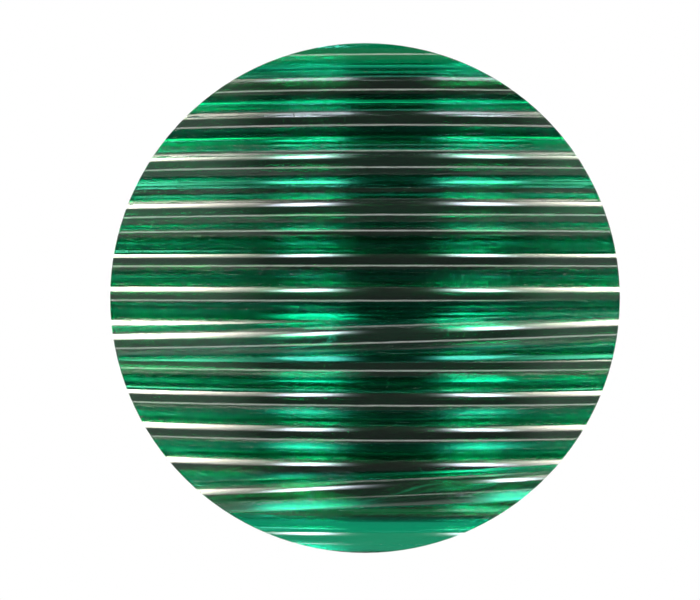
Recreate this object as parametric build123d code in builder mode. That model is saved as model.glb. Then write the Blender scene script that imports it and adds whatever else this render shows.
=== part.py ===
from build123d import *

# A refillable spool of 2.85 mm filament, three quarters of a kilogram, on its lower flange.
#
# The lower flange is screwed to the hub barrel. The refill, a cardboard core with the filament
# wound on it, drops over the barrel. The upper flange is keyed to the barrel, so that it only
# slides, and a captive lock ring with a four-start quick thread pulls it down. Turning the ring
# lifts it off the thread, and the flange with it.
#
# Millimetres, +Z up along the spool's axis, origin at the middle of the lower rim's plane.

import os
from math import asin, cos, degrees, pi, radians, sin, sqrt

os.makedirs("parts", exist_ok=True)

# ---------------------------------------------------------------- overall sizes
FLANGE_RADIUS = 100.0
SPOOL_WIDTH = 55.0
BORE_RADIUS = 26.0

# ---------------------------------------------------------------- filament and winding
FILAMENT_DIAMETER = 2.85
LAYERS = 14
OUTER_LAYERS = 3  # the part of the winding that can be seen between the turns

# ---------------------------------------------------------------- flanges
RIM_THICKNESS = 3.5
RIM_BEAD = 1.6  # radial width of the bead that stands out round the edge
WEB_THICKNESS = 2.4
RIM_ROUND = 0.7
SECTORS = 6  # each has windows, apart from the first, which is left solid for the label
WINDOW_SPOKE = 8.0  # half-width of the spoke between two windows
WINDOW_FROM_CORE = 3.7  # from the core's outside to the inner row of windows
INNER_WINDOW = 12.0  # radial size of the inner row
WINDOW_RIB = 5.5  # between the two rows
WINDOW_TO_HOLES = 3.65  # from the outer row to the end holes
WINDOW_CORNER = 5.0
WINDOW_CHAMFER = 0.5
END_HOLES = 12
END_HOLE_CLEARANCE = 0.675  # round the strand that is pushed through
END_HOLE_EDGE = 2.1  # material between an end hole and the bead
TICK_HEIGHT = 0.3
TICK_WIDTH = 0.7
TICK_LENGTH = 6.0

# ---------------------------------------------------------------- hub barrel
BARREL_RADIUS = 46.0
BARREL_WALL = 2.5
BORE_WALL = 2.3
DECK_THICKNESS = 2.5
BARREL_WEBS = 6
WEB_PLATE = 2.0
KEYS = 4
KEY_WIDTH = 10.0
KEY_DEPTH = 4.0
CORE_KEYS = 2
CORE_KEY_WIDTH = 4.0
CORE_KEY_HEIGHT = 6.0
CORE_KEY_DEPTH = 2.2

# ---------------------------------------------------------------- lock ring and its thread
LEDGE_WIDTH = 5.8  # radial, what the ring's lip presses on
LEDGE_THICKNESS = 2.4
LEDGE_DROP = 3.5  # how far the ledge lies below the flange's inner face
NECK_WALL = 3.2
NECK_BELOW_TOP = 0.6
SKIRT_WALL = 2.6
LIP_THICKNESS = 3.0
LIP_GAP = 0.35  # between the lip and the wall of the flange's dish
BEAD_HEIGHT = 1.1
BEAD_PROUD = 0.6
SKIRT_BELOW_BEAD = 2.4
SKIRT_ABOVE_DECK = 0.6
THREAD_STARTS = 4
THREAD_LEAD = 48.0
THREAD_DEPTH = 1.6
THREAD_HEIGHT = 4.6
THREAD_ABOVE_DECK = 3.6
LUG_WIDTH = 5.0
LUG_ROOT = 1.0  # kept inside the skirt's outer face
UNLOCK_ANGLE = 75.0
GRIPS = 6
GRIP_WIDTH = 2.4
GRIP_HEIGHT = 1.3

# ---------------------------------------------------------------- refill core, labels, screws
CORE_OVER_STRAND = 0.15  # how much thicker the core's wall is than the strand that it holds
START_ANGLE = 200.0
START_SPAN = 18.0
LABEL_THICKNESS = 0.15
GLUE_LINE = 0.02
LABEL_MARGIN = 3.0  # inside the place where the inner row of windows would begin
LABEL_OUTER_MARGIN = 1.5
SCREWS = 6
SCREW_TO_WALL = 6.0  # from a screw's middle to the inside of the barrel's wall
SCREW_RADIUS = 1.5
SCREW_HEAD_RADIUS = 2.8
SCREW_LENGTH = 12.0
BOSS_RADIUS = 4.0
CROSS_WIDTH = 0.8
CROSS_LENGTH = 3.0
CROSS_DEPTH = 0.8

# ---------------------------------------------------------------- clearances
FIT_CLEARANCE = 0.3  # between pieces that slide on or lift off
SNUG_CLEARANCE = 0.05  # between pieces that locate each other
SEAT_CLEARANCE = 0.1  # at the two ends of the refill

# ---------------------------------------------------------------- last turns and the loose end
LAST_TURNS_OVER_TAIL = 0.075  # from the top of the loose end up to the last turns
LAST_TURNS_TOP = 4.0  # below the upper flange's inner face
TAIL_HEIGHT = 7.5  # height at which the end leaves the winding
TAIL_HOLE = 7  # number of the end hole that holds it, from +X, counter-clockwise
TAIL_BEND = 5.5
TAIL_OVER = 0.5  # clear of the plane that the spool lies on

# ---------------------------------------------------------------- worked out from the above
inner_face = RIM_THICKNESS  # the lower flange's inner face
upper_inner_face = SPOOL_WIDTH - RIM_THICKNESS
web_outer_face = upper_inner_face + WEB_THICKNESS
winding_height = upper_inner_face - inner_face
filament_radius = FILAMENT_DIAMETER / 2
end_hole_radius = filament_radius + END_HOLE_CLEARANCE
end_hole_circle = FLANGE_RADIUS - RIM_BEAD - END_HOLE_EDGE / 2 - end_hole_radius
core_wall = FILAMENT_DIAMETER + CORE_OVER_STRAND
core_inner = BARREL_RADIUS + FIT_CLEARANCE
core_outer = core_inner + core_wall
inner_row = (core_outer + WINDOW_FROM_CORE, core_outer + WINDOW_FROM_CORE + INNER_WINDOW)
outer_row = (inner_row[1] + WINDOW_RIB, end_hole_circle - end_hole_radius - WINDOW_TO_HOLES)
label_radii = (inner_row[0] + LABEL_MARGIN, outer_row[1] - LABEL_OUTER_MARGIN)
ledge_bottom = upper_inner_face - LEDGE_DROP
ledge_top = ledge_bottom + LEDGE_THICKNESS
bead_top = ledge_bottom - FIT_CLEARANCE
skirt_bottom = bead_top - BEAD_HEIGHT - SKIRT_BELOW_BEAD
deck_top = skirt_bottom - SKIRT_ABOVE_DECK
bore_outer = BORE_RADIUS + BORE_WALL
barrel_inner = BARREL_RADIUS - BARREL_WALL
dish_radius = barrel_inner
ledge_hole = dish_radius - LEDGE_WIDTH
skirt_outer = ledge_hole - FIT_CLEARANCE
skirt_inner = skirt_outer - SKIRT_WALL
neck_radius = skirt_inner - FIT_CLEARANCE
neck_inner = neck_radius - NECK_WALL
screw_circle = barrel_inner - SCREW_TO_WALL
neck_top = SPOOL_WIDTH - NECK_BELOW_TOP
spigot_radius = BARREL_RADIUS - SNUG_CLEARANCE
lip_radius = dish_radius - LIP_GAP
lug_centre = deck_top + THREAD_ABOVE_DECK
lug_inner = neck_radius - THREAD_DEPTH + FIT_CLEARANCE
lug_rise = THREAD_LEAD * LUG_WIDTH / (2 * pi * lug_inner)  # of the groove, along a lug's width
lug_height = THREAD_HEIGHT - lug_rise - 2 * FIT_CLEARANCE
sector = 360.0 / SECTORS

# How the turns lie: side by side across the width, each layer in the grooves of the last.
turns_height = winding_height - 2 * SEAT_CLEARANCE - FILAMENT_DIAMETER
turns_per_layer = int(turns_height / FILAMENT_DIAMETER + 0.5)
turn_pitch = turns_height / (turns_per_layer - 0.5)
layer_step = sqrt(FILAMENT_DIAMETER**2 - (turn_pitch / 2) ** 2)
first_layer = core_outer + SNUG_CLEARANCE + filament_radius
winding_radius = first_layer + (LAYERS - 1) * layer_step + filament_radius
outer_layers_inside = winding_radius - (OUTER_LAYERS - 1) * layer_step - FILAMENT_DIAMETER


def at_polar(radius, angle):
    """The x and y of a point at that radius and angle in degrees."""
    return radius * cos(radians(angle)), radius * sin(radians(angle))


def ring(inner, outer, bottom, top):
    """A plain ring about the spool's axis."""
    with BuildPart() as plain:
        with BuildSketch(Plane.XY.offset(bottom)):
            Circle(outer)
            Circle(inner, mode=Mode.SUBTRACT)
        extrude(amount=top - bottom)
    return plain.part


def sector_outline(inner, outer, middle, side_gap, corner):
    """A rounded kidney between two radii, its sides side_gap from the edges of its sector. Its
    corners are no larger than its own radial size leaves room for."""
    with BuildSketch() as outline:
        with BuildLine():
            points = []
            for radius in (inner, outer):
                half = sector / 2 - degrees(asin(side_gap / radius))
                points.append([at_polar(radius, middle + k * half) for k in (-1, 0, 1)])
            near, far = points
            ThreePointArc(*near)
            Line(near[2], far[2])
            ThreePointArc(far[2], far[1], far[0])
            Line(far[0], near[0])
        make_face()
        fillet(outline.vertices(), min(corner, 0.45 * (outer - inner)))
    return outline.sketch


def thread_block(radial_depth, height, start_angle, end_angle, inner_radius):
    """A square-sectioned helical block, level with the locked lugs where its angle is 0."""
    span = end_angle - start_angle
    middle = inner_radius + radial_depth / 2
    rise = THREAD_LEAD * span / 360
    with BuildPart() as block:
        with BuildLine():
            helix = Helix(pitch=THREAD_LEAD, height=rise, radius=middle)
        with BuildSketch(Plane.XZ):
            with Locations((middle, 0)):
                Rectangle(radial_depth, height)
        sweep(path=helix, is_frenet=True)
    lift = lug_centre + THREAD_LEAD * start_angle / 360
    return block.part.moved(Location((0, 0, lift), (0, 0, start_angle)))


# ---------------------------------------------------------------- flanges
def flange_body(face, outward):
    """The disc, its bead, windows and end holes. face is the inner face's height, and outward
    is +1 for the upper flange and -1 for the lower one."""
    with BuildPart() as disc:
        with BuildSketch(Plane.XY.offset(face)):
            Circle(FLANGE_RADIUS)
        extrude(amount=outward * RIM_THICKNESS)
        fillet(disc.edges().filter_by(GeomType.CIRCLE), RIM_ROUND)
        with BuildSketch(Plane.XY.offset(face + outward * WEB_THICKNESS)):
            Circle(FLANGE_RADIUS - RIM_BEAD)
        extrude(amount=outward * RIM_THICKNESS, mode=Mode.SUBTRACT)
        for number in range(1, SECTORS):
            with BuildSketch(Plane.XY.offset(face)):
                for inside, outside in (inner_row, outer_row):
                    middle = (number + 0.5) * sector
                    add(sector_outline(inside, outside, middle, WINDOW_SPOKE, WINDOW_CORNER))
            extrude(amount=outward * WEB_THICKNESS, mode=Mode.SUBTRACT)
        web_plane = face + outward * WEB_THICKNESS
        flat_faces = disc.faces().filter_by(Axis.Z)
        web_face = flat_faces.sort_by(lambda flat: abs(flat.center().Z - web_plane))[0]
        window_edges = [wire.edges() for wire in web_face.inner_wires()]
        chamfer([edge for edges in window_edges for edge in edges], WINDOW_CHAMFER)
        with BuildSketch(Plane.XY.offset(face)):
            with PolarLocations(end_hole_circle, END_HOLES, start_angle=sector / 4):
                Circle(end_hole_radius)
        extrude(amount=outward * WEB_THICKNESS, mode=Mode.SUBTRACT)
    return disc.part


with BuildPart() as lower_flange:
    add(flange_body(inner_face, -1))
    with BuildSketch(Plane.XY.offset(inner_face)):
        Circle(bore_outer + SNUG_CLEARANCE)
    extrude(amount=-RIM_THICKNESS, mode=Mode.SUBTRACT)
    screw_plane = Plane.XY.offset(inner_face - WEB_THICKNESS).rotated((180, 0, 0))
    with Locations(screw_plane):
        with PolarLocations(screw_circle, SCREWS, start_angle=180 / SCREWS):
            CounterSinkHole(SCREW_RADIUS + SNUG_CLEARANCE, SCREW_HEAD_RADIUS + SNUG_CLEARANCE)
lower_flange.part.label = "lower_flange"

with BuildPart() as upper_flange:
    add(flange_body(upper_inner_face, 1))
    with BuildSketch(Plane.XY.offset(ledge_bottom)):
        Circle(spigot_radius)
    extrude(amount=web_outer_face - ledge_bottom)
    with BuildSketch(Plane.XY.offset(ledge_top)):
        Circle(dish_radius)
    extrude(amount=SPOOL_WIDTH, mode=Mode.SUBTRACT)
    with BuildSketch(Plane.XY.offset(ledge_bottom)):
        Circle(ledge_hole)
    extrude(amount=SPOOL_WIDTH, mode=Mode.SUBTRACT)
    # keys that drop into the notches of the barrel's wall, so that the flange can't turn
    with BuildSketch(Plane.XY.offset(ledge_bottom)) as key_profile:
        with PolarLocations((dish_radius + spigot_radius) / 2, KEYS):
            Rectangle(
                2 * (spigot_radius - dish_radius), KEY_WIDTH - 2 * FIT_CLEARANCE
            )
        Circle(spigot_radius, mode=Mode.INTERSECT)
        Circle(dish_radius + SNUG_CLEARANCE, mode=Mode.SUBTRACT)
    extrude(amount=-(KEY_DEPTH - FIT_CLEARANCE))
    # ticks on a spoke, at the radii that a quarter, half, three quarters and all of it fill
    for share in (0.25, 0.5, 0.75, 1.0):
        tick_radius = sqrt(core_outer**2 + share * (winding_radius**2 - core_outer**2))
        with BuildSketch(Plane.XY.offset(web_outer_face)):
            with Locations(Rotation(0, 0, 2 * sector)):
                with Locations((tick_radius, 0)):
                    Rectangle(TICK_WIDTH, TICK_LENGTH)
        extrude(amount=TICK_HEIGHT)
upper_flange.part.label = "upper_flange"

# ---------------------------------------------------------------- hub barrel
with BuildPart() as hub_barrel:
    add(ring(BORE_RADIUS, bore_outer, 0, SPOOL_WIDTH))
    add(ring(barrel_inner, BARREL_RADIUS, inner_face, ledge_bottom))
    add(ring(BORE_RADIUS, barrel_inner, deck_top - DECK_THICKNESS, deck_top))
    add(ring(neck_inner, neck_radius, deck_top, neck_top))
    with BuildSketch(Plane.XY.offset(inner_face)):
        with PolarLocations((bore_outer + barrel_inner) / 2, BARREL_WEBS):
            Rectangle(barrel_inner - bore_outer + BORE_WALL, WEB_PLATE)
    extrude(amount=deck_top - DECK_THICKNESS - inner_face)
    with BuildSketch(Plane.XY.offset(inner_face)):
        with PolarLocations(screw_circle, SCREWS, start_angle=180 / SCREWS):
            Circle(BOSS_RADIUS)
        with PolarLocations((screw_circle + barrel_inner) / 2, SCREWS, start_angle=180 / SCREWS):
            Rectangle(barrel_inner - screw_circle + BARREL_WALL, WEB_PLATE)
    extrude(amount=SCREW_LENGTH)
    with BuildSketch(Plane.XY.offset(inner_face)):
        with PolarLocations(screw_circle, SCREWS, start_angle=180 / SCREWS):
            Circle(SCREW_RADIUS + SNUG_CLEARANCE)
    extrude(amount=SCREW_LENGTH - WEB_THICKNESS + SCREW_RADIUS, mode=Mode.SUBTRACT)
    with BuildSketch(Plane.XY.offset(ledge_bottom - KEY_DEPTH)):
        with PolarLocations(BARREL_RADIUS, KEYS):
            Rectangle(4 * BARREL_WALL, KEY_WIDTH)
        Circle(barrel_inner, mode=Mode.SUBTRACT)
    extrude(amount=KEY_DEPTH, mode=Mode.SUBTRACT)
    with BuildSketch(Plane.XY.offset(inner_face)):
        with PolarLocations(BARREL_RADIUS + (CORE_KEY_DEPTH - BARREL_WALL) / 2, CORE_KEYS, 90):
            Rectangle(CORE_KEY_DEPTH + BARREL_WALL, CORE_KEY_WIDTH)
        Circle(barrel_inner, mode=Mode.SUBTRACT)
    extrude(amount=CORE_KEY_HEIGHT)
    run_out = 360 * (neck_top - lug_centre + THREAD_HEIGHT) / THREAD_LEAD
    lead_in = degrees(LUG_WIDTH / lug_inner)
    for start in range(THREAD_STARTS):
        groove = thread_block(
            THREAD_DEPTH * 2, THREAD_HEIGHT, -lead_in, run_out + lead_in, neck_radius - THREAD_DEPTH
        )
        add(groove.rotate(Axis.Z, start * 360 / THREAD_STARTS), mode=Mode.SUBTRACT)
hub_barrel.part.label = "hub_barrel"

# ---------------------------------------------------------------- lock ring
with BuildPart() as lock_ring:
    add(ring(skirt_inner, lip_radius, ledge_top + SNUG_CLEARANCE, ledge_top + LIP_THICKNESS))
    fillet(lock_ring.edges().filter_by(GeomType.CIRCLE).group_by(Axis.Z)[-1], RIM_ROUND)
    add(ring(skirt_inner, skirt_outer, skirt_bottom, ledge_top + SNUG_CLEARANCE))
    with BuildSketch(Plane.XY.offset(ledge_top + LIP_THICKNESS - GRIP_HEIGHT)):
        with PolarLocations((skirt_outer + lip_radius) / 2, GRIPS, start_angle=180 / GRIPS):
            SlotOverall(lip_radius - skirt_outer - 3 * RIM_ROUND, GRIP_WIDTH)
    extrude(amount=2 * GRIP_HEIGHT)
    with BuildSketch(Plane.XY.offset(bead_top - BEAD_HEIGHT)):
        Circle(skirt_outer + BEAD_PROUD)
        Circle(skirt_inner, mode=Mode.SUBTRACT)
        with PolarLocations(skirt_outer, KEYS, start_angle=180 / KEYS):
            Rectangle(8 * BEAD_PROUD, KEY_WIDTH, mode=Mode.SUBTRACT)
        Circle(skirt_outer, mode=Mode.ADD)
        Circle(skirt_inner, mode=Mode.SUBTRACT)
    extrude(amount=BEAD_HEIGHT)
    # lugs that run in the neck's grooves
    with BuildSketch(Plane.XY.offset(lug_centre - lug_height / 2)):
        with PolarLocations((lug_inner + skirt_outer) / 2, THREAD_STARTS):
            Rectangle(skirt_outer - lug_inner - LUG_ROOT, LUG_WIDTH)
    extrude(amount=lug_height)
lock_ring.part.label = "lock_ring"

# ---------------------------------------------------------------- screws
with BuildPart() as hub_screws:
    head_plane = inner_face - WEB_THICKNESS
    with BuildSketch(Plane.XZ) as screw_profile:
        with BuildLine():
            Polyline(
                (0, head_plane),
                (SCREW_HEAD_RADIUS, head_plane),
                (SCREW_RADIUS, head_plane + (SCREW_HEAD_RADIUS - SCREW_RADIUS)),
                (SCREW_RADIUS, head_plane + SCREW_LENGTH - SCREW_RADIUS),
                (SCREW_RADIUS / 3, head_plane + SCREW_LENGTH),
                (0, head_plane + SCREW_LENGTH),
                close=True,
            )
        make_face()
    revolve(axis=Axis.Z)
    with BuildSketch(Plane.XY.offset(head_plane)):
        Rectangle(CROSS_LENGTH, CROSS_WIDTH)
        Rectangle(CROSS_WIDTH, CROSS_LENGTH)
    extrude(amount=CROSS_DEPTH, mode=Mode.SUBTRACT)
one_screw = hub_screws.part
screw_places = PolarLocations(screw_circle, SCREWS, start_angle=180 / SCREWS)
screw_group = Compound(
    label="hub_screws", children=[one_screw.moved(place) for place in screw_places]
)

# ---------------------------------------------------------------- refill: core and filament
with BuildPart() as refill_core:
    add(ring(core_inner, core_outer, inner_face + SEAT_CLEARANCE, upper_inner_face - SEAT_CLEARANCE))
    with BuildSketch(Plane.XY.offset(inner_face)):
        with PolarLocations(core_inner, CORE_KEYS, start_angle=90):
            Rectangle(4 * core_wall, CORE_KEY_WIDTH + 2 * FIT_CLEARANCE)
        Circle(barrel_inner, mode=Mode.SUBTRACT)
    extrude(amount=CORE_KEY_HEIGHT + FIT_CLEARANCE, mode=Mode.SUBTRACT)
    # the slot that holds the filament's inner end
    start_height = inner_face + SEAT_CLEARANCE + CORE_KEY_HEIGHT
    with BuildSketch(Plane.XZ) as slot_profile:
        with Locations(((core_inner + core_outer) / 2, start_height)):
            Rectangle(2 * core_wall, FILAMENT_DIAMETER + 2 * FIT_CLEARANCE)
    start_slot = revolve(
        slot_profile.sketch, Axis.Z, START_SPAN + 1, mode=Mode.PRIVATE
    )
    add(start_slot.rotate(Axis.Z, START_ANGLE - 0.5), mode=Mode.SUBTRACT)
refill_core.part.label = "refill_core"

with BuildPart() as filament_start:
    with BuildSketch(Plane.XZ) as start_profile:
        with Locations(((core_inner + core_outer) / 2, start_height)):
            Circle(filament_radius)
    start_arc = revolve(start_profile.sketch, Axis.Z, START_SPAN, mode=Mode.PRIVATE)
    add(start_arc.rotate(Axis.Z, START_ANGLE))
filament_start.part.label = "filament_start"

with BuildPart() as filament_inner_layers:
    add(ring(
        core_outer + SNUG_CLEARANCE,
        outer_layers_inside,
        inner_face + SEAT_CLEARANCE,
        upper_inner_face - SEAT_CLEARANCE,
    ))
filament_inner_layers.part.label = "filament_inner_layers"

with BuildPart() as filament_outer_layers:
    add(ring(
        outer_layers_inside,
        winding_radius,
        inner_face + SEAT_CLEARANCE,
        upper_inner_face - SEAT_CLEARANCE,
    ))
filament_outer_layers.part.label = "filament_outer_layers"

with BuildPart() as filament_last_turns:
    add(ring(
        winding_radius,
        winding_radius + FILAMENT_DIAMETER,
        TAIL_HEIGHT + filament_radius + LAST_TURNS_OVER_TAIL,
        upper_inner_face - LAST_TURNS_TOP,
    ))
filament_last_turns.part.label = "filament_last_turns"

# The loose end leaves the winding along a tangent and bends down into an end hole.
hole_angle = sector / 4 + (TAIL_HOLE - 1) * 360 / END_HOLES
run_radius = winding_radius + filament_radius + SNUG_CLEARANCE
tail_run = sqrt(end_hole_circle**2 - run_radius**2)
leave_angle = hole_angle + degrees(asin(tail_run / end_hole_circle))
with BuildPart() as filament_tail:
    with BuildLine() as tail_path:
        hole_x, hole_y = at_polar(end_hole_circle, hole_angle)
        FilletPolyline(
            (*at_polar(run_radius, leave_angle), TAIL_HEIGHT),
            (hole_x, hole_y, TAIL_HEIGHT),
            (hole_x, hole_y, TAIL_OVER),
            radius=TAIL_BEND,
        )
    tail_start = Plane(tail_path.line @ 0, z_dir=tail_path.line % 0)
    with BuildSketch(tail_start):
        Circle(filament_radius)
    sweep(path=tail_path.line)
filament_tail.part.label = "filament_tail"

# ---------------------------------------------------------------- labels
label_outline = sector_outline(*label_radii, sector / 2, WINDOW_SPOKE, WINDOW_CORNER)
with BuildPart() as upper_label:
    with BuildSketch(Plane.XY.offset(web_outer_face + GLUE_LINE)):
        add(label_outline)
    extrude(amount=LABEL_THICKNESS)
upper_label.part.label = "upper_label"

with BuildPart() as lower_label:
    with BuildSketch(Plane.XY.offset(inner_face - WEB_THICKNESS - GLUE_LINE)):
        add(label_outline)
    extrude(amount=-LABEL_THICKNESS)
lower_label.part.label = "lower_label"

# ---------------------------------------------------------------- one STEP file per node
pieces = [
    lower_flange.part,
    upper_flange.part,
    hub_barrel.part,
    lock_ring.part,
    screw_group,
    refill_core.part,
    filament_start.part,
    filament_inner_layers.part,
    filament_outer_layers.part,
    filament_last_turns.part,
    filament_tail.part,
    upper_label.part,
    lower_label.part,
]
for piece in pieces:
    export_step(piece, f"parts/{piece.label}.step")

print(f"{LAYERS} layers of {turns_per_layer} turns, {turn_pitch:.3f} apart, radius {winding_radius:.2f}")
print(f"lock: turns {UNLOCK_ANGLE} degrees, lifts {THREAD_LEAD * UNLOCK_ANGLE / 360:.2f} mm")
print(f"end holes on radius {end_hole_circle:.2f}; the tail leaves at {leave_angle:.1f} degrees")
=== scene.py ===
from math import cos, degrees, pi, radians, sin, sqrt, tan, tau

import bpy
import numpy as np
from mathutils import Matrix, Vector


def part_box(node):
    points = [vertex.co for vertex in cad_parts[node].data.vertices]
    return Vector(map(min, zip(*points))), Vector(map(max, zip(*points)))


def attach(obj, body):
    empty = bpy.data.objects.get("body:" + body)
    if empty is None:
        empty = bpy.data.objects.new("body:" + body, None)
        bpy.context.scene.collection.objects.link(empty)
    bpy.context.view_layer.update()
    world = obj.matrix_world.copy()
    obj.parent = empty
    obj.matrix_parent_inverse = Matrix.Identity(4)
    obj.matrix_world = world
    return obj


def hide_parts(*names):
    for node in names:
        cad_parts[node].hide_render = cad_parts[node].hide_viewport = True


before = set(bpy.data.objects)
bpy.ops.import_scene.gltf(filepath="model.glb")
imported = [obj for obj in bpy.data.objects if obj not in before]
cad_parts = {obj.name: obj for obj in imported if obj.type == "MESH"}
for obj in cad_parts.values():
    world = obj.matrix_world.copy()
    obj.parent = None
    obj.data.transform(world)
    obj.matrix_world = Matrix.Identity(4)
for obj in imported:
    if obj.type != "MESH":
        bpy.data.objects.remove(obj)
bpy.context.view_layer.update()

# %% [markdown]
# # A spool of translucent green filament
#
# The spool lies flat on its lower flange, so its axis is +Z. Everything is in metres. The CAD
# frame gives the flanges, the barrel, the lock ring, the core, the labels and the screws; the
# winding is built here, because plain rings can't look like a wound strand.

STRAND = 0.00285  # diameter of the filament
STRAND_RADIUS = STRAND / 2
outer_low, outer_high = (np.array(corner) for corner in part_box("filament_outer_layers"))
_, core_high = (np.array(corner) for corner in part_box("refill_core"))
TURNS = 16  # in each layer
LAYERS = 14
PITCH = (outer_high[2] - outer_low[2] - STRAND) / (TURNS - 0.5)
LAYER_STEP = sqrt(STRAND**2 - (PITCH / 2) ** 2)
TOP_LAYER = outer_high[0] - STRAND_RADIUS  # radius of the top layer, at the strand's middle
LOWEST = outer_low[2] + STRAND_RADIUS  # height of the lowest turn's middle

# %% [markdown]
# ## Turning arrays into meshes
#
# A winding is a curve with a round section, so it is quicker and more exact to work out every
# point as an array than to model it by hand: one parameter runs along the strand, the other
# round it.

# %% A grid of points becomes a mesh
def mesh_from_grid(name, points, closed_along=False, closed_round=True, caps=True):
    """points has the shape (along, round, 3). Neighbouring points are joined by quads, round
    and along wraps if closed, and an open end is closed by a fan of triangles to its middle.
    Each face corner's UV is the distance along the grid and the share of the way round."""
    along, around, _ = points.shape
    index = np.arange(along * around).reshape(along, around)
    next_along = np.roll(index, -1, 0) if closed_along else index[1:]
    this_along = index if closed_along else index[:-1]
    if closed_round:
        quads = np.stack(
            [this_along, np.roll(this_along, -1, 1), np.roll(next_along, -1, 1), next_along], -1
        )
    else:
        quads = np.stack(
            [this_along[:, :-1], this_along[:, 1:], next_along[:, 1:], next_along[:, :-1]], -1
        )
    quads = quads.reshape(-1, 4)
    vertices = points.reshape(-1, 3)
    triangles = np.zeros((0, 3), int)
    if caps and not closed_along:
        ends = np.array([points[0].mean(0), points[-1].mean(0)])
        first, last = len(vertices), len(vertices) + 1
        vertices = np.vstack([vertices, ends])
        triangles = np.vstack([
            np.stack([np.roll(index[0], -1), index[0], np.full(around, first)], -1),
            np.stack([index[-1], np.roll(index[-1], -1), np.full(around, last)], -1),
        ])
    mesh = bpy.data.meshes.new(name)
    mesh.vertices.add(len(vertices))
    mesh.vertices.foreach_set("co", vertices.astype(np.float32).ravel())
    loops = np.concatenate([quads.ravel(), triangles.ravel()])
    mesh.loops.add(len(loops))
    mesh.loops.foreach_set("vertex_index", loops.astype(np.int32))
    starts = np.concatenate([
        np.arange(len(quads)) * 4,
        len(quads) * 4 + np.arange(len(triangles)) * 3,
    ])
    mesh.polygons.add(len(starts))
    mesh.polygons.foreach_set("loop_start", starts.astype(np.int32))
    mesh.polygons.foreach_set("use_smooth", np.ones(len(starts), bool))
    steps = np.linalg.norm(np.diff(points.mean(1), axis=0), axis=1)
    length = np.concatenate([[0], np.cumsum(steps)])
    length = np.concatenate([length, [length[-1], length[-1]]])
    share = np.concatenate([np.tile(np.arange(around) / around, along), [0, 0]])
    row_of = np.concatenate([np.repeat(np.arange(along), around), [along, along + 1]])
    uv = np.stack([length[row_of[loops]], share[loops]], -1)
    layer = mesh.uv_layers.new(name="along_and_round")
    layer.data.foreach_set("uv", uv.astype(np.float32).ravel())
    mesh.update(calc_edges=True)
    mesh.validate()
    piece = bpy.data.objects.new(name, mesh)
    bpy.context.scene.collection.objects.link(piece)
    triangles_in = 2 * len(quads) + len(triangles)
    print(f"{name}: {triangles_in} triangles")
    return piece


# %% A round strand along a path
def strand_along(name, path, sides, radius=STRAND_RADIUS, **how):
    """A circle carried along the path. Its two directions are the way out from the spool's
    axis, made square to the tangent, and the tangent crossed with that, so it never twists."""
    tangent = np.gradient(path, axis=0)
    if how.get("closed_along"):
        tangent = np.roll(path, -1, 0) - np.roll(path, 1, 0)
    tangent /= np.linalg.norm(tangent, axis=1, keepdims=True)
    outward = path * [1, 1, 0]
    outward /= np.linalg.norm(outward, axis=1, keepdims=True)
    outward -= tangent * (outward * tangent).sum(1, keepdims=True)
    outward /= np.linalg.norm(outward, axis=1, keepdims=True)
    across = np.cross(tangent, outward)
    angle = np.linspace(0, tau, sides, endpoint=False)
    ring = (
        np.cos(angle)[None, :, None] * outward[:, None, :]
        + np.sin(angle)[None, :, None] * across[:, None, :]
    )
    return mesh_from_grid(name, path[:, None, :] + radius * ring, **how)


def smooth_step(x):
    """0 below 0, 1 above 1, and 3x^2 - 2x^3 between."""
    x = np.clip(x, 0, 1)
    return x * x * (3 - 2 * x)


# %% [markdown]
# ## The turns
#
# A spool is wound layer on layer. Each turn lies level for most of the way round, and steps up
# to its next place in a short crossing, which is put at the back here. Each layer lies in the
# grooves of the one below, and climbs over it only at that crossing.
# Only the two outer layers are wound as real strands. The dye in them lets little light out
# from deeper.

# %% A layer's path
CROSSING = radians(90)  # the middle of the crossing, at the back
HALF_CROSSING = 0.085  # of a turn
FALLEN = 1.35  # in half crossings from the middle, where a climb has come down again
CLEARANCE = 0.000012  # off a strand's radius, so that clear solids never share a surface
CLIMB = STRAND - LAYER_STEP  # from lying in a groove to lying on a crown
LAST_CLIMB = 0.12  # of a turn before the back, where the top layer ends and the last turns begin
CUT_BACK = 0.09  # of a turn, so that a layer's cut end stays clear of its own next crossing


def at_crossing(theta):
    """1 in the middle of the crossing, falling smoothly to 0 just past its ends."""
    turn = (theta - CROSSING) / tau
    offset = np.abs(turn - np.round(turn))
    return smooth_step(FALLEN - offset / HALF_CROSSING)


def layer_path(number, segments, upwards, turns=TURNS - CUT_BACK):
    """Level turns that step by one pitch at each crossing, wound clockwise as seen from above,
    from the bottom upwards or from the top downwards. number counts the layers from 0 at the
    core, and every second layer lies half a pitch higher."""
    turn = np.linspace(CUT_BACK, turns, int(turns * segments) + 1)
    steps = sum(
        smooth_step((turn - k + HALF_CROSSING) / (2 * HALF_CROSSING)) for k in range(1, TURNS)
    )
    half = 0.5 * (number % 2)
    height = LOWEST + PITCH * (half + (steps if upwards else TURNS - 1 - steps))
    theta = CROSSING - tau * turn
    reach = TOP_LAYER - (LAYERS - 1 - number) * LAYER_STEP
    if number == LAYERS - 1:
        reach = reach + CLIMB * at_crossing(theta)
    else:
        reach = reach + 0 * theta
    return np.stack([reach * np.cos(theta), reach * np.sin(theta), height], -1)


top_layer = strand_along(
    "filament_top_layer",
    layer_path(LAYERS - 1, 160, True, TURNS - LAST_CLIMB),
    32,
    STRAND_RADIUS - CLEARANCE,
)
second_layer = strand_along(
    "filament_second_layer", layer_path(LAYERS - 2, 120, False), 20, STRAND_RADIUS - CLEARANCE
)
for piece in (top_layer, second_layer):
    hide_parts("filament_outer_layers")
    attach(piece, "spool")

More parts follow.
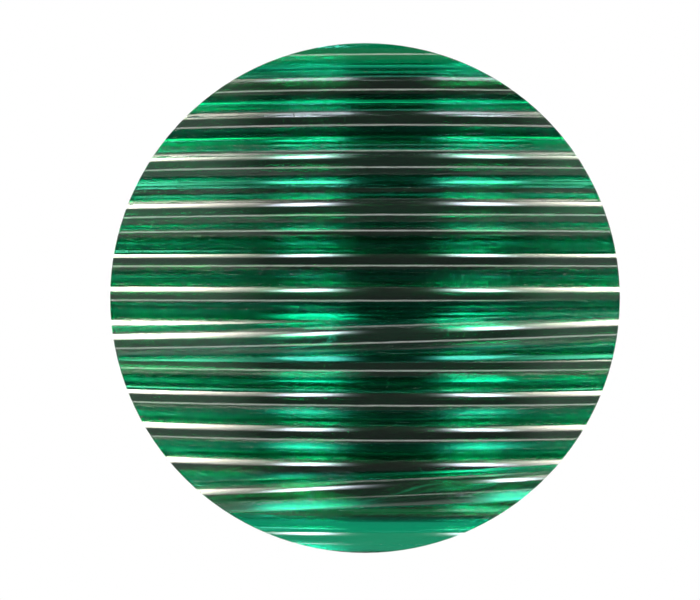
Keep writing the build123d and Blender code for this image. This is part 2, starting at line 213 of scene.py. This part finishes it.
# %% [markdown]
# ## The buried layers
#
# From outside, the buried layers show only as the flanges' windows show them, as rings side by
# side at each end, and as a dark ribbed ground behind the two outer layers. So the ground is
# one turned solid with a rib for each turn, and each end has a ring for each layer.

# %% The ribbed ground
RIB_STEPS = 14  # points up each rib
GROUND_SEGMENTS = 240
CORE_GAP = 0.0001
ground_number = LAYERS - 3
ground_radius = TOP_LAYER - 2 * LAYER_STEP
first_rib = LOWEST + PITCH * (1 + 0.5 * (ground_number % 2))
rib_heights = first_rib + PITCH * np.arange(TURNS - 2)
# The ground stops at the middle of its highest rib, where the even layers' end rings begin.
low, high = rib_heights[0] - PITCH / 2, rib_heights[-1]
height = np.linspace(low, high, RIB_STEPS * (TURNS - 2) + 1)
off_rib = (height - first_rib + PITCH / 2) % PITCH - PITCH / 2
ribbed = ground_radius + np.sqrt(np.maximum(STRAND_RADIUS**2 - off_rib**2, 1e-8)) - 2 * CLEARANCE
theta = np.linspace(0, tau, GROUND_SEGMENTS, endpoint=False)[:, None]
# Drawn in at the crossing, where the layer outside it climbs.
ribbed = ribbed - CLIMB * at_crossing(theta)
inside = np.full_like(theta, core_high[0] + CORE_GAP)
reach = np.concatenate([inside, inside, ribbed], 1)
height = np.concatenate([[high, low], height])
ground_points = np.stack(
    [reach * np.cos(theta), reach * np.sin(theta), height + 0 * theta], -1
)
ground = mesh_from_grid("filament_buried_turns", ground_points, closed_along=True)
print("ribs", len(rib_heights), "from", np.round(rib_heights[[0, -1]] * 1000, 2))

# %% The rings at both ends
RING_SIDES, RING_SEGMENTS = 12, 96
theta = np.linspace(0, tau, RING_SEGMENTS, endpoint=False)
end_rings = []
for number in range(LAYERS - 2):
    radius = TOP_LAYER - (LAYERS - 1 - number) * LAYER_STEP
    half = 0.5 * (number % 2)
    # Drawn in at the crossing, less and less towards the core, so that nothing cuts.
    drawn_in = radius - CLIMB * number / (LAYERS - 3) * at_crossing(theta)
    for turn in (0, TURNS - 1):
        level = LOWEST + PITCH * (half + turn)
        path = np.stack(
            [drawn_in * np.cos(theta), drawn_in * np.sin(theta), level + 0 * theta], -1
        )
        end_rings.append(strand_along(
            "filament_end_ring", path, RING_SIDES, STRAND_RADIUS - 2 * CLEARANCE, closed_along=True
        ))
with bpy.context.temp_override(
    active_object=end_rings[0], selected_editable_objects=end_rings, selected_objects=end_rings
):
    bpy.ops.object.join()
end_turns = end_rings[0]
end_turns.name = "filament_end_turns"
for piece in (ground, end_turns):
    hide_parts("filament_inner_layers")
    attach(piece, "spool")

# %% [markdown]
# ## The last turns and the loose end
#
# The last few turns were pulled on loosely, so they don't lie side by side. Where the top layer
# ends, at the back under the upper flange, the strand climbs onto its own last turn. Then it
# comes down the winding in wider and wider steps, crosses the turns below, leaves the winding
# in a straight line, bends down and is held in a hole of the lower rim.
#
# A curve drawn by hand would either cut into the turns below or float over them, so its height
# is a smooth curve and its distance from the axis is worked out from the ribs under it.

# %% Where the strand crosses the front, turn by turn
FRONT = radians(-90)
FRONT_HEIGHTS = np.array([0.048525, 0.03758, 0.03378, 0.02350, 0.01097])
FRONT_SLOPES = np.array([0.0, 0.0, -0.0002, -0.00276, -0.00418])  # metres for each radian
LOOSE_TURNS = len(FRONT_HEIGHTS) - 1
print("front heights, mm", np.round(FRONT_HEIGHTS * 1000, 2), "loose turns", LOOSE_TURNS)


def hermite(s, first, last, first_slope, last_slope):
    """The cubic that goes from first to last as s goes from 0 to 1, with those slopes."""
    cubic = (2 * s**3 - 3 * s**2 + 1) * first + (s**3 - 2 * s**2 + s) * first_slope
    return cubic + (3 * s**2 - 2 * s**3) * last + (s**3 - s**2) * last_slope


def between_turns(wound):
    """A cubic from each front height to the next. wound is 0 at the first, and grows by a full
    turn from one to the next."""
    knot = np.clip((wound / tau).astype(int), 0, LOOSE_TURNS - 1)
    a, b = FRONT_HEIGHTS[knot], FRONT_HEIGHTS[knot + 1]
    m, n = tau * FRONT_SLOPES[knot], tau * FRONT_SLOPES[knot + 1]
    return hermite(wound / tau - knot, a, b, m, n)


def over_the_ribs(level, theta):
    """How far the strand's middle lies outside the top layer's: a full strand on a turn's
    crown, and less in the groove between two, by a power of a cosine that never cuts in. At
    the crossing, where the ribs change places, it is the full strand on top of their climb."""
    phase = tau * (level - LOWEST - PITCH / 2) / PITCH
    crossing = at_crossing(theta)
    sunk = CLIMB * ((1 - np.cos(phase)) / 2) ** 3
    return STRAND + 5 * CLEARANCE - sunk * (1 - crossing) + CLIMB * crossing


# %% The whole path: the climb, the loose turns, the straight run, the bend and the end
HOLE_CIRCLE = 0.09525
HOLE_ANGLE = radians(15 + 6 * 30)
BEND = 0.0055  # radius
TAIL_LEVEL = 0.0075  # height of the straight run
TAIL_END = 0.0005  # height of the strand's end, in the hole
RUN_GAP = 0.00005  # between the straight run and the top layer
LOOSE_SEGMENTS = 5 * 170
SETTLING = 0.5  # radians over which the strand comes to its last distance from the axis
run_radius = outer_high[0] + STRAND_RADIUS + RUN_GAP
leave = HOLE_ANGLE + np.arccos(run_radius / HOLE_CIRCLE)
wound_start = FRONT - CROSSING - tau * LAST_CLIMB
wound_end = LOOSE_TURNS * tau + FRONT + tau - leave
wound = np.linspace(wound_start, wound_end, LOOSE_SEGMENTS)
theta = FRONT - wound
top_level = LOWEST + PITCH * (TURNS - 0.5)

before_front = hermite(
    np.clip(1 - wound / wound_start, 0, 1), top_level, FRONT_HEIGHTS[0], 0, 0
)
on_turns = between_turns(np.clip(wound, 0, LOOSE_TURNS * tau - 1e-6))
last_span = wound_end - LOOSE_TURNS * tau
after_front = hermite(
    np.clip((wound - LOOSE_TURNS * tau) / last_span, 0, 1),
    FRONT_HEIGHTS[-1], TAIL_LEVEL, FRONT_SLOPES[-1] * last_span, 0,
)
on_or_after = np.where(wound < LOOSE_TURNS * tau, on_turns, after_front)
level = np.where(wound < 0, before_front, on_or_after)
climbed = smooth_step((wound - wound_start) / (tau * LAST_CLIMB))
reach = TOP_LAYER + climbed * over_the_ribs(level, theta)
settled = smooth_step((wound - wound_end + SETTLING) / SETTLING)
reach = reach * (1 - settled) + run_radius * settled
turns_path = np.stack([reach * np.cos(theta), reach * np.sin(theta), level], -1)

up = np.array([0, 0, 1.0])
corner = np.array([HOLE_CIRCLE * cos(HOLE_ANGLE), HOLE_CIRCLE * sin(HOLE_ANGLE), TAIL_LEVEL])
way = (corner - turns_path[-1]) / np.linalg.norm(corner - turns_path[-1])
run_length = np.linalg.norm(corner - turns_path[-1]) - BEND
run = turns_path[-1] + way * np.linspace(0, run_length, 24)[1:, None]
arc = np.linspace(0, pi / 2, 16)[1:, None]
bend = run[-1] + BEND * (np.sin(arc) * way - (1 - np.cos(arc)) * up)
down = bend[-1] - up * np.linspace(0, TAIL_LEVEL - BEND - TAIL_END, 6)[1:, None]
last_turns_path = np.vstack([turns_path, run, bend, down])
print("leaves at", round(degrees(leave), 1), "degrees, runs", round(run_length * 1000, 1), "mm")


def strand_with_bend(name, path, sides):
    """As strand_along, but the sideways direction is level throughout, so that the section
    doesn't turn over where the path bends down into the rim."""
    tangent = np.gradient(path, axis=0)
    tangent /= np.linalg.norm(tangent, axis=1, keepdims=True)
    level_way = np.cross(tangent, up)
    size = np.linalg.norm(level_way, axis=1, keepdims=True)
    level_way = np.where(size > 0.2, level_way / np.maximum(size, 1e-9), np.cross(way, up))
    over = np.cross(tangent, level_way)
    angle = np.linspace(0, tau, sides, endpoint=False)
    ring = (
        np.cos(angle)[None, :, None] * level_way[:, None, :]
        + np.sin(angle)[None, :, None] * over[:, None, :]
    )
    return mesh_from_grid(name, path[:, None, :] + (STRAND_RADIUS - CLEARANCE) * ring)


last_turns = strand_with_bend("filament_last_turns_and_end", last_turns_path, 28)
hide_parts("filament_last_turns", "filament_tail")
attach(last_turns, "spool")

# %% [markdown]
# ## Materials
#
# The filament is clear plastic with a green dye, so its colour comes from how far light has
# travelled in it: a Volume Absorption node behind a clear surface. A painted green would look
# the same all over, and the real strand goes from teal at its bright edge to near black.

# %% Small helpers for node trees
def material(name):
    """A new material, with its nodes, its links and its Principled BSDF."""
    made = bpy.data.materials.new(name)
    made.use_nodes = True
    nodes = made.node_tree.nodes
    return made, nodes, made.node_tree.links, nodes["Principled BSDF"]


def noise(nodes, links, source, scale, detail=4.0, roughness=0.55, stretch=None):
    """A noise texture on Object coordinates or a UV map, stretched by a Mapping node."""
    mapping = nodes.new("ShaderNodeMapping")
    if stretch:
        mapping.inputs["Scale"].default_value = stretch
    links.new(source, mapping.inputs["Vector"])
    texture = nodes.new("ShaderNodeTexNoise")
    texture.inputs["Scale"].default_value = scale
    texture.inputs["Detail"].default_value = detail
    texture.inputs["Roughness"].default_value = roughness
    links.new(mapping.outputs["Vector"], texture.inputs["Vector"])
    return texture.outputs["Fac"]


def to_range(nodes, links, source, low, high, from_low=0.3, from_high=0.7):
    """Maps from_low..from_high to low..high."""
    ranged = nodes.new("ShaderNodeMapRange")
    ranged.inputs["From Min"].default_value = from_low
    ranged.inputs["From Max"].default_value = from_high
    ranged.inputs["To Min"].default_value = low
    ranged.inputs["To Max"].default_value = high
    links.new(source, ranged.inputs["Value"])
    return ranged.outputs["Result"]


def bump(nodes, links, source, distance, strength, shader):
    """Adds a bump to whatever bump the shader already has."""
    node = nodes.new("ShaderNodeBump")
    node.inputs["Distance"].default_value = distance
    node.inputs["Strength"].default_value = strength
    links.new(source, node.inputs["Height"])
    if shader.inputs["Normal"].links:
        links.new(shader.inputs["Normal"].links[0].from_socket, node.inputs["Normal"])
    links.new(node.outputs["Normal"], shader.inputs["Normal"])


def blend_colours(nodes, links, factor, first, second):
    """A mix of two colours by the factor."""
    mix = nodes.new("ShaderNodeMix")
    mix.data_type = "RGBA"
    mix.inputs["A"].default_value = (*first, 1)
    mix.inputs["B"].default_value = (*second, 1)
    links.new(factor, mix.inputs["Factor"])
    return mix.outputs["Result"]


def object_coordinates(nodes):
    """The place on the piece, in metres, whatever its pose."""
    return nodes.new("ShaderNodeTexCoord").outputs["Object"]


# %% Green filament
green_filament, nodes, links, shader = material("green_filament")
shader.inputs["Base Color"].default_value = (1.0, 1.0, 1.0, 1)
shader.inputs["Transmission Weight"].default_value = 1.0
shader.inputs["IOR"].default_value = 1.57
along = nodes.new("ShaderNodeUVMap")
along.uv_map = "along_and_round"
drawn = noise(nodes, links, along.outputs["UV"], 60, 3, 0.5, (1.0, 0.12, 1.0))
place = object_coordinates(nodes)
cloud = noise(nodes, links, place, 900, 4)
links.new(to_range(nodes, links, cloud, 0.0, 0.012), shader.inputs["Roughness"])
bump(nodes, links, drawn, 0.00002, 0.012, shader)
absorption = nodes.new("ShaderNodeVolumeAbsorption")
absorption.inputs["Color"].default_value = (0.0, 0.81, 0.667, 1)
absorption.inputs["Density"].default_value = 900
links.new(absorption.outputs["Volume"], nodes["Material Output"].inputs["Volume"])

buried_green, nodes, links, shader = material("buried_green_filament")
place = object_coordinates(nodes)
depth = noise(nodes, links, place, 300, 4)
colour = blend_colours(nodes, links, depth, (0.0005, 0.008, 0.004), (0.001, 0.016, 0.008))
links.new(colour, shader.inputs["Base Color"])
links.new(to_range(nodes, links, depth, 0.12, 0.25), shader.inputs["Roughness"])
shader.inputs["IOR"].default_value = 1.57
bump(nodes, links, depth, 0.0001, 0.3, shader)

for piece in (top_layer, second_layer, end_turns, last_turns):
    piece.data.materials.clear()
    piece.data.materials.append(green_filament)
ground.data.materials.append(buried_green)
print(green_filament.name, "on", [p.name for p in (top_layer, second_layer, end_turns, last_turns)])

# %% Clear moulded plastic
clear_plastic, nodes, links, shader = material("clear_flange_plastic")
shader.inputs["Base Color"].default_value = (0.98, 0.99, 0.99, 1)
shader.inputs["Transmission Weight"].default_value = 1.0
shader.inputs["IOR"].default_value = 1.57
place = object_coordinates(nodes)
scuff = noise(nodes, links, place, 140, 8, 0.6)
links.new(to_range(nodes, links, scuff, 0.01, 0.09, 0.45, 0.75), shader.inputs["Roughness"])
ripple = noise(nodes, links, place, 35, 3, 0.5)
bump(nodes, links, ripple, 0.0002, 0.12, shader)
absorption = nodes.new("ShaderNodeVolumeAbsorption")
absorption.inputs["Color"].default_value = (0.78, 0.88, 0.84, 1)
absorption.inputs["Density"].default_value = 40
links.new(absorption.outputs["Volume"], nodes["Material Output"].inputs["Volume"])
print(clear_plastic.name, "has", len(nodes), "nodes")

# %% Opaque plastics, card and steel
def moulded_plastic(name, deep, raised, rough_low, rough_high):
    """A moulded plastic: fine spark texture, faint clouding and shinier rubbed places."""
    made, nodes, links, shader = material(name)
    place = object_coordinates(nodes)
    cloud = noise(nodes, links, place, 60, 6)
    grain = noise(nodes, links, place, 2600, 3, 0.7)
    links.new(blend_colours(nodes, links, cloud, deep, raised), shader.inputs["Base Color"])
    links.new(to_range(nodes, links, cloud, rough_low, rough_high), shader.inputs["Roughness"])
    bump(nodes, links, grain, 0.00006, 0.5, shader)
    shader.inputs["Specular IOR Level"].default_value = 0.2  # satin, not gloss
    return made


barrel_plastic = moulded_plastic(
    "barrel_plastic", (0.018, 0.019, 0.02), (0.03, 0.031, 0.033), 0.34, 0.55
)
ring_plastic = moulded_plastic(
    "lock_ring_plastic", (0.33, 0.34, 0.34), (0.42, 0.43, 0.43), 0.32, 0.5
)

cardboard, nodes, links, shader = material("cardboard")
place = object_coordinates(nodes)
fibre = noise(nodes, links, place, 500, 8, 0.7, (1, 1, 4))
links.new(
    blend_colours(nodes, links, fibre, (0.25, 0.165, 0.095), (0.42, 0.30, 0.19)),
    shader.inputs["Base Color"],
)
shader.inputs["Roughness"].default_value = 0.85
bump(nodes, links, fibre, 0.0002, 0.6, shader)

zinc, nodes, links, shader = material("screw_steel")
place = object_coordinates(nodes)
stain = noise(nodes, links, place, 400, 6)
links.new(
    blend_colours(nodes, links, stain, (0.48, 0.46, 0.40), (0.66, 0.65, 0.60)),
    shader.inputs["Base Color"],
)
shader.inputs["Metallic"].default_value = 1.0
links.new(to_range(nodes, links, stain, 0.22, 0.42), shader.inputs["Roughness"])
bump(nodes, links, stain, 0.00005, 0.3, shader)
print("opaque finishes", [m.name for m in (barrel_plastic, ring_plastic, cardboard, zinc)])

# %% [markdown]
# A label without words: a swatch of the filament's colour, a few rules where a maker would
# print, and a block of bars. Each mark is a rectangle tested on Object coordinates, turned so
# that one axis runs outwards through the label's middle.

# %% Printed label
LABEL_ANGLE = radians(30)
paper, nodes, links, shader = material("label_paper")
fibre = noise(nodes, links, object_coordinates(nodes), 1500, 5, 0.6)
turned_to_label = nodes.new("ShaderNodeMapping")
turned_to_label.inputs["Rotation"].default_value = (0, 0, -LABEL_ANGLE)
links.new(object_coordinates(nodes), turned_to_label.inputs["Vector"])
split = nodes.new("ShaderNodeSeparateXYZ")
links.new(turned_to_label.outputs["Vector"], split.inputs[0])
outwards, sideways, _ = split.outputs


def inside_box(out_low, out_high, side_low, side_high):
    """1 inside the rectangle, in millimetres outwards and sideways, and 0 outside."""
    product = None
    for socket, low, high in ((outwards, out_low, out_high), (sideways, side_low, side_high)):
        near = nodes.new("ShaderNodeMath")
        near.operation = "COMPARE"
        near.inputs[1].default_value = (low + high) / 2000
        near.inputs[2].default_value = (high - low) / 2000
        links.new(socket, near.inputs[0])
        if product is None:
            product = near.outputs[0]
        else:
            both = nodes.new("ShaderNodeMath")
            both.operation = "MULTIPLY"
            links.new(product, both.inputs[0])
            links.new(near.outputs[0], both.inputs[1])
            product = both.outputs[0]
    return product


def print_over(colour, mask, ink):
    """The ink where the mask is 1, and the colour so far elsewhere."""
    mix = nodes.new("ShaderNodeMix")
    mix.data_type = "RGBA"
    links.new(mask, mix.inputs["Factor"])
    links.new(colour, mix.inputs["A"])
    mix.inputs["B"].default_value = (*ink, 1)
    return mix.outputs["Result"]


colour = blend_colours(nodes, links, fibre, (0.70, 0.69, 0.66), (0.78, 0.77, 0.74))
colour = print_over(colour, inside_box(76, 84, -26, 26), (0.006, 0.16, 0.075))
for row, length in enumerate((18, 12, 15)):
    start = 69 - 3.2 * row
    rule = inside_box(start, start + 1.1, -22, -22 + length)
    colour = print_over(colour, rule, (0.05, 0.05, 0.055))
for number, width in enumerate((0.5, 1.0, 0.5, 1.4, 0.6, 0.5, 1.1, 0.6, 1.4, 0.5, 0.9)):
    place_of_bar = 3 + 1.7 * number
    bar = inside_box(62, 70, place_of_bar, place_of_bar + width)
    colour = print_over(colour, bar, (0.03, 0.03, 0.032))
links.new(colour, shader.inputs["Base Color"])
shader.inputs["Roughness"].default_value = 0.6
shader.inputs["Specular IOR Level"].default_value = 0.15
bump(nodes, links, fibre, 0.00005, 0.3, shader)
print(paper.name, "has", len(nodes), "nodes")

# %% Each carried-over piece gets its finish
finishes = {
    "lower_flange": clear_plastic,
    "upper_flange": clear_plastic,
    "hub_barrel": barrel_plastic,
    "lock_ring": ring_plastic,
    "refill_core": cardboard,
    "hub_screws": zinc,
    "filament_start": buried_green,
    "upper_label": paper,
    "lower_label": paper,
}
for node, finish in finishes.items():
    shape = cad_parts[node]
    shape.data.materials.clear()
    shape.data.materials.append(finish)
print("finished", len(finishes), "carried-over nodes")

# %% [markdown]
# ## Floor, light and camera
#
# The camera stands close in front of the winding, a little above half its height. Three panels
# light the floor and the dull plastics. The clear strands show lights drawn on a dome instead:
# one overhead, two small cool ones high in front that give the bright spots, two broad warm
# ones at the sides, and a low one that gives each strand a thin line.

# %% The floor
FLOOR_HALF_SIDE = 14.0
floor_mesh = bpy.data.meshes.new("floor")
floor_mesh.from_pydata(
    [
        (x * FLOOR_HALF_SIDE, y * FLOOR_HALF_SIDE, 0)
        for x, y in ((-1, -1), (1, -1), (1, 1), (-1, 1))
    ],
    [], [(0, 1, 2, 3)],
)
floor = bpy.data.objects.new("floor", floor_mesh)
bpy.context.scene.collection.objects.link(floor)
floor_finish, nodes, links, shader = material("pale_floor")
place = object_coordinates(nodes)
speckle = noise(nodes, links, place, 40, 4)
near_colour = blend_colours(nodes, links, speckle, (0.74, 0.74, 0.73), (0.78, 0.78, 0.77))
# The lamps reach only the middle, so light is painted into the paper's colour, paler and paler
# further out, and the floor meets the wall unseen.
distance = nodes.new("ShaderNodeVectorMath")
distance.operation = "LENGTH"
links.new(place, distance.inputs[0])
painted_far_light = nodes.new("ShaderNodeMix")
painted_far_light.data_type = "RGBA"
painted_far_light.inputs["B"].default_value = (0.97, 0.97, 0.96, 1)
# How much painted light: none at half a metre out, full at four metres.
far = to_range(nodes, links, distance.outputs["Value"], 0.0, 1.0, 0.5, 4.0)
links.new(far, painted_far_light.inputs["Factor"])
links.new(near_colour, painted_far_light.inputs["A"])
links.new(painted_far_light.outputs["Result"], shader.inputs["Base Color"])
shader.inputs["Roughness"].default_value = 0.9
# Matt paper doesn't shine, and a shiny floor would show the strong studio lights at low angles.
shader.inputs["Specular IOR Level"].default_value = 0.0
floor_mesh.materials.append(floor_finish)
floor.visible_glossy = False
floor.visible_transmission = False
print("floor", 2 * FLOOR_HALF_SIDE, "m square")

# %% The lights
MIDDLE_HEIGHT = 0.0275  # half the spool's width


def panel(name, azimuth, elevation, distance, width, height, power, colour):
    """A rectangular light seen from the winding's front at that azimuth and elevation."""
    data = bpy.data.lights.new(name, "AREA")
    data.shape = "RECTANGLE"
    data.size = width
    data.size_y = height
    data.energy = power
    data.color = colour
    lamp = bpy.data.objects.new(name, data)
    bpy.context.scene.collection.objects.link(lamp)
    target = Vector((0, -TOP_LAYER, MIDDLE_HEIGHT))
    a, e = radians(azimuth), radians(elevation)
    way = Vector((sin(a) * cos(e), -cos(a) * cos(e), sin(e)))
    lamp.location = target + distance * way
    lamp.rotation_euler = way.to_track_quat("Z", "Y").to_euler()
    lamp.visible_camera = False
    return lamp


# These light the floor and the dull plastics. The clear ones reflect the dome below instead.
for name, azimuth, elevation, power in (
    ("key_panel", -120, 60, 11.0), ("right_fill", 100, 45, 4.5), ("front_fill", -20, 50, 4.5)
):
    fill = panel(name, azimuth, elevation, 2.6, 1.2, 1.2, power, (1.0, 0.99, 0.97))
    fill.visible_glossy = False
    fill.visible_transmission = False
    print(name, power, "W")

world = bpy.data.worlds.new("studio_walls")
bpy.context.scene.world = world
world.use_nodes = True
world.node_tree.nodes["Background"].inputs["Color"].default_value = (1.0, 1.0, 0.99, 1)
world.node_tree.nodes["Background"].inputs["Strength"].default_value = 0.8

# %% [markdown]
# Glossy and clear surfaces show what is round them, so the studio that they see is drawn on a
# dome: dark straight in front, pale elsewhere, with each light fading softly at its edges. The
# dome is only there for reflected and refracted rays. Panels with hard edges would give the
# strands hard-ended highlights, and a bright world would wash out the paper and the floor.

# %% The dome that clear and glossy surfaces see
DOME_RADIUS = 2.5
theta = np.linspace(0, tau, 96, endpoint=False)
tilt = np.linspace(radians(-89.5), radians(89.5), 48)
dome_points = DOME_RADIUS * np.stack([
    np.cos(tilt)[:, None] * np.cos(theta),
    np.cos(tilt)[:, None] * np.sin(theta),
    np.sin(tilt)[:, None] + 0 * theta,
], -1)
dome = mesh_from_grid("studio_dome", dome_points)
studio_light = bpy.data.materials.new("studio_light")
studio_light.use_nodes = True
studio_light.cycles.emission_sampling = "NONE"
nodes, links = studio_light.node_tree.nodes, studio_light.node_tree.links
nodes.clear()


def calculate(operation, *values):
    """A Math node on sockets or numbers."""
    node = nodes.new("ShaderNodeMath")
    node.operation = operation
    for socket, value in zip(node.inputs, values):
        if isinstance(value, (int, float)):
            socket.default_value = value
        else:
            links.new(value, socket)
    return node.outputs[0]


direction = nodes.new("ShaderNodeVectorMath")
direction.operation = "NORMALIZE"
links.new(nodes.new("ShaderNodeTexCoord").outputs["Object"], direction.inputs[0])
looking = nodes.new("ShaderNodeSeparateXYZ")
links.new(direction.outputs[0], looking.inputs[0])
across, deep, upward = looking.outputs
azimuth = calculate("ARCTAN2", across, calculate("MULTIPLY", deep, -1.0))
from_front = calculate("ABSOLUTE", azimuth)
elevation = calculate("ARCSINE", upward)
rays = nodes.new("ShaderNodeLightPath")


def coloured(amount, colour, strength):
    """A number on a socket, times a colour."""
    glow = nodes.new("ShaderNodeVectorMath")
    glow.operation = "SCALE"
    glow.inputs[0].default_value = tuple(strength * c for c in colour)
    links.new(amount, glow.inputs["Scale"])
    return glow.outputs[0]


def bell(level, height, middle=None, width=None, turned_by=azimuth):
    """exp(-((elevation - level) / height)^4), a band with short edges, times the softer
    exp(-((azimuth - middle) / width)^2) if it has a middle. Angles are in degrees from the
    front."""
    upwards = calculate("SUBTRACT", elevation, radians(level))
    upwards = calculate("DIVIDE", upwards, radians(height))
    power = calculate("POWER", calculate("ABSOLUTE", upwards), 4.0)
    if middle is not None:
        sideways = calculate("SUBTRACT", turned_by, radians(middle))
        sideways = calculate("DIVIDE", sideways, radians(width))
        power = calculate("ADD", power, calculate("MULTIPLY", sideways, sideways))
    return calculate("EXPONENT", calculate("MULTIPLY", power, -1.0))


def added(first, second):
    """The sum of two colours on sockets."""
    node = nodes.new("ShaderNodeVectorMath")
    node.operation = "ADD"
    links.new(first, node.inputs[0])
    links.new(second, node.inputs[1])
    return node.outputs[0]


cool, warm, plain = (0.80, 0.88, 1.0), (1.0, 0.95, 0.84), (0.95, 1.0, 0.95)
glossy, clear = rays.outputs["Is Reflection Ray"], rays.outputs["Is Transmission Ray"]
pale = to_range(nodes, links, from_front, 0.22, 0.74, radians(19), radians(27))
glow = coloured(pale, (1.0, 1.0, 0.98), 1.0)
for light in (
    coloured(bell(90, 14), plain, 5.0),
    coloured(calculate("MULTIPLY", bell(38, 10, -14, 4.2), glossy), cool, 42.0),
    coloured(calculate("MULTIPLY", bell(38, 10, 17, 4.2), glossy), cool, 42.0),
    coloured(calculate("MULTIPLY", bell(38, 15, -14, 4.8), clear), cool, 80.0),
    coloured(calculate("MULTIPLY", bell(38, 15, 17, 4.8), clear), cool, 80.0),
    coloured(calculate("MULTIPLY", bell(40, 16, 50, 18, from_front), glossy), warm, 48.0),
    coloured(calculate("MULTIPLY", bell(42, 20, 50, 18, from_front), clear), warm, 26.0),
    coloured(calculate("MULTIPLY", bell(-30, 5), glossy), plain, 6.0),
):
    glow = added(glow, light)
emission = nodes.new("ShaderNodeEmission")
links.new(glow, emission.inputs["Color"])
links.new(emission.outputs[0], nodes.new("ShaderNodeOutputMaterial").inputs["Surface"])
dome.data.materials.append(studio_light)
dome.visible_camera = False
dome.visible_diffuse = False
dome.visible_shadow = False
dome.visible_volume_scatter = False
bpy.context.scene.view_settings.view_transform = "Standard"

# %% The camera, turned a little left and down
CAMERA_GAP = 0.105  # from the lens to the top layer's strand middles
EYE = 0.02935  # height of the lens
LENS = 64.9  # mm, on a 36 mm wide sensor
TURN = radians(1.59)
camera_data = bpy.data.cameras.new("camera")
camera = bpy.data.objects.new("camera", camera_data)
bpy.context.scene.collection.objects.link(camera)
camera_data.sensor_width = 36
camera_data.lens = LENS
camera_data.clip_start = 0.0001
camera_data.clip_end = 20
camera.location = (0, -(TOP_LAYER + CAMERA_GAP), EYE)
camera.rotation_euler = (pi / 2 - TURN, 0, TURN)
bpy.context.scene.camera = camera
bpy.context.view_layer.update()
print("camera at", [round(v, 4) for v in camera.location], "lens", round(camera_data.lens, 1))

# %% [markdown]
# A white card with a round window stands just in front of the lens, so the winding is seen
# through a circle. Its white is painted light: it glows by its own emission, and lights nothing.
# It is half a millimetre wide, too small to show in a view from elsewhere.

# %% The window card
WINDOW_MIDDLE = (tan(radians(0.681)), tan(radians(0.091)))  # right of and above the view's middle
WINDOW_RADIUS = tan(radians(11.42))
CARD_GAP = 0.0005  # in front of the lens
CARD_EDGE = 0.45  # wider than the view, as a share of the gap
angle = np.linspace(0, tau, 128, endpoint=False)
inner_ring = np.stack([
    WINDOW_MIDDLE[0] + WINDOW_RADIUS * np.cos(angle),
    WINDOW_MIDDLE[1] + WINDOW_RADIUS * np.sin(angle),
], -1)
outer_ring = CARD_EDGE * np.stack([np.cos(angle), np.sin(angle)], -1)
flat = np.stack([inner_ring, outer_ring], 1) * CARD_GAP
card_points = np.concatenate([flat, np.full((*flat.shape[:2], 1), -CARD_GAP)], -1)
card_points = card_points @ np.array(camera.matrix_world.to_3x3()).T + np.array(camera.location)
card = mesh_from_grid("window_card", card_points, closed_along=True, closed_round=False)
# Painted light: the card glows an even white by its own emission instead of being lit.
card_glow, nodes, links, shader = material("glowing_white_card")
shader.inputs["Base Color"].default_value = (0, 0, 0, 1)
shader.inputs["Emission Color"].default_value = (1, 1, 1, 1)
shader.inputs["Emission Strength"].default_value = 1.0
shader.inputs["Specular IOR Level"].default_value = 0.0
card.data.materials.append(card_glow)
card.visible_shadow = False
card.visible_diffuse = False
card.visible_glossy = False
card.visible_transmission = False
